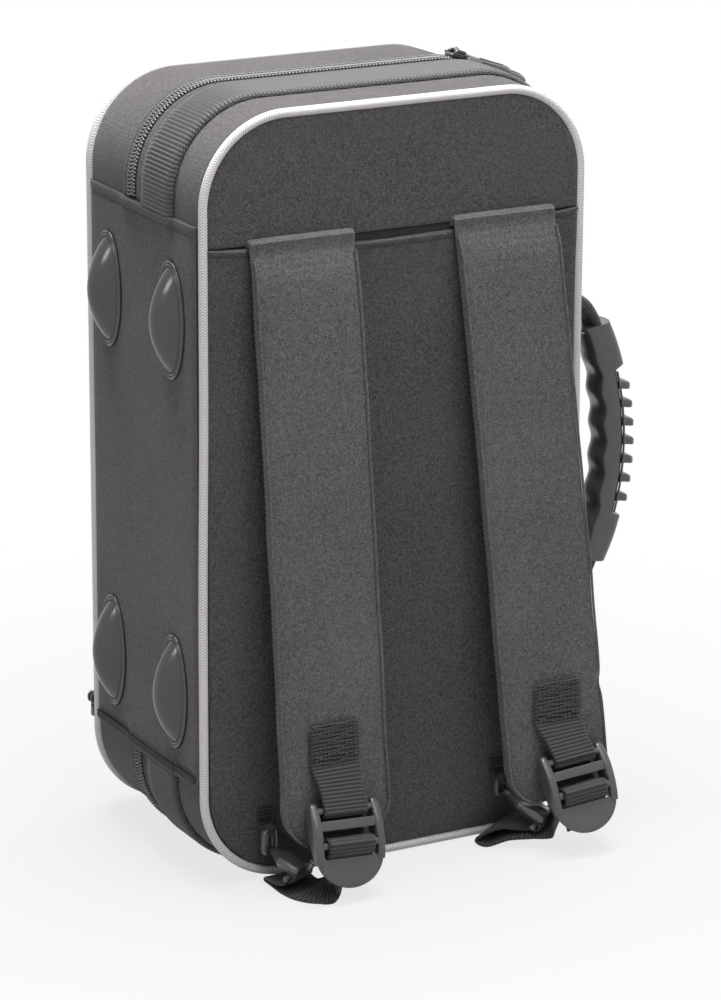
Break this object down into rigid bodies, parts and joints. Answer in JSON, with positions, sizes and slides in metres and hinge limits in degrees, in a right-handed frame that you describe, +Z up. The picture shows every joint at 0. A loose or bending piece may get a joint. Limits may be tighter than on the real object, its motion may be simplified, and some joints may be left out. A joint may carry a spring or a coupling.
{
  "type": "cornet case",
  "caption": "Soft-sided upright case for a cornet with a zipped hinged lid, piped edges, padded shoulder straps, a moulded carrying handle, rubber feet and a fitted inside.",
  "frame": {"origin": "on the floor, at the middle of the case's resting band on its short lower end", "axes": "+Z up along the case's long side, +X towards the carrying handle, +Y towards the lid, so the shoulder straps are at -Y"},
  "size_m": [0.3308, 0.2264, 0.4652],
  "materials": {
    "charcoal_nylon": "woven, matt",
    "strap_fabric": "woven, matt",
    "lining": "napped, matt",
    "piping": "braided cord, matt",
    "webbing": "ribbed, matt",
    "zip_tape": "woven, matt",
    "zip_coil": "satin",
    "rubber": "glossy",
    "moulded_plastic": "semi-gloss",
    "slider_metal": "painted, satin"
  },
  "bodies": {
    "case_body": {"body_shell": "charcoal_nylon", "back_piping": "piping", "gusset_webbing": "webbing", "zip_tape_body": "zip_tape", "zip_chain_body": "zip_coil", "hinge_panel_body": "charcoal_nylon", "upper_back_panel": "charcoal_nylon", "strap_pocket_panel": "charcoal_nylon", "foot_body_upper": "rubber", "foot_body_lower": "rubber", "handle_anchor_upper": "webbing", "handle_anchor_lower": "webbing", "cornet_cradle": "lining", "mouthpiece_block": "lining", "accessory_box": "lining", "anchor_tab_left": "webbing", "anchor_tab_right": "webbing", "adjuster_webbing_left": "webbing", "adjuster_webbing_right": "webbing"},
    "case_lid": {"lid_shell": "charcoal_nylon", "front_piping": "piping", "zip_tape_lid": "zip_tape", "zip_chain_lid": "zip_coil", "hinge_panel_lid": "charcoal_nylon", "foot_lid_upper": "rubber", "foot_lid_lower": "rubber", "lid_pad": "lining", "front_pocket": "charcoal_nylon", "pocket_zip": "zip_tape"},
    "accessory_lid": {"accessory_lid": "lining"},
    "carrying_handle": {"handle_strap": "webbing", "handle_grip": "moulded_plastic"},
    "upper_slider": {"zip_slider_upper": "slider_metal"},
    "upper_pull": {"zip_pull_upper": "slider_metal"},
    "side_slider": {"zip_slider_side": "slider_metal"},
    "side_pull": {"zip_pull_side": "slider_metal"},
    "pocket_slider": {"pocket_slider": "slider_metal"},
    "pocket_pull": {"pocket_pull": "slider_metal"},
    "strap_left": {"shoulder_pad_left": "strap_fabric", "pad_webbing_left": "webbing"},
    "lock_left": {"ladder_lock_left": "moulded_plastic"},
    "hook_left": {"snap_hook_left": "moulded_plastic"},
    "strap_right": {"shoulder_pad_right": "strap_fabric", "pad_webbing_right": "webbing"},
    "lock_right": {"ladder_lock_right": "moulded_plastic"},
    "hook_right": {"snap_hook_right": "moulded_plastic"}
  },
  "joints": [
    {"name": "lid_hinge", "type": "hinge", "parent": "case_body", "child": "case_lid", "pos_m": [-0.127, 0.03385, 0.2305], "axis": [0, 0, 1], "range_deg": [0, 120]},
    {"name": "accessory_lid_hinge", "type": "hinge", "parent": "case_body", "child": "accessory_lid", "pos_m": [0.1069, 0.02115, 0.229], "axis": [0, 0, -1], "range_deg": [0, 95]},
    {"name": "handle_swing", "type": "hinge", "parent": "case_body", "child": "carrying_handle", "pos_m": [0.13765, 0, 0.221], "axis": [0, 0, 1], "range_deg": [-60, 60]},
    {"name": "upper_slider_travel", "type": "hinge", "parent": "case_body", "child": "upper_slider", "pos_m": [0.071, 0.03385, 0.405], "axis": [0, 1, 0], "range_deg": [-15, 0]},
    {"name": "upper_pull_swing", "type": "hinge", "parent": "upper_slider", "child": "upper_pull", "pos_m": [0.08772, 0.03385, 0.46331], "axis": [0, -1, 0], "range_deg": [0, 176]},
    {"name": "side_slider_travel", "type": "hinge", "parent": "case_body", "child": "side_slider", "pos_m": [0.071, 0.03385, 0.405], "axis": [0, 1, 0], "range_deg": [0, 42]},
    {"name": "side_pull_swing", "type": "hinge", "parent": "side_slider", "child": "side_pull", "pos_m": [0.10999, 0.03385, 0.45147], "axis": [0, -1, 0], "range_deg": [0, 150]},
    {"name": "pocket_slider_travel", "type": "slide", "parent": "case_lid", "child": "pocket_slider", "axis": [0, 0, 1], "range_m": [0, 0.309]},
    {"name": "pocket_pull_swing", "type": "hinge", "parent": "pocket_slider", "child": "pocket_pull", "pos_m": [-0.12726, 0.10175, 0.07], "axis": [0, 1, 0], "range_deg": [0, 165]},
    {"name": "strap_swing_left", "type": "hinge", "parent": "case_body", "child": "strap_left", "pos_m": [-0.06325, -0.05235, 0.3845], "axis": [-1, 0, 0], "range_deg": [-0.5, 8], "deforming": ["adjuster_webbing_left"]},
    {"name": "lock_tilt_left", "type": "hinge", "parent": "strap_left", "child": "lock_left", "pos_m": [-0.05446, -0.09237, 0.05216], "axis": [-1, 0, 0], "range_deg": [-10, 20]},
    {"name": "hook_swivel_left", "type": "hinge", "parent": "case_body", "child": "hook_left", "pos_m": [-0.08649, -0.05926, 0.031], "axis": [-1, 0, 0], "range_deg": [-4, 8]},
    {"name": "strap_swing_right", "type": "hinge", "parent": "case_body", "child": "strap_right", "pos_m": [0.06858, -0.05235, 0.3845], "axis": [-1, 0, 0], "range_deg": [-0.5, 8], "deforming": ["adjuster_webbing_right"]},
    {"name": "lock_tilt_right", "type": "hinge", "parent": "strap_right", "child": "lock_right", "pos_m": [0.10054, -0.09211, 0.0567], "axis": [-1, 0, 0], "range_deg": [-10, 20]},
    {"name": "hook_swivel_right", "type": "hinge", "parent": "case_body", "child": "hook_right", "pos_m": [0.06604, -0.05926, 0.031], "axis": [-1, 0, 0], "range_deg": [-4, 8]}
  ]
}
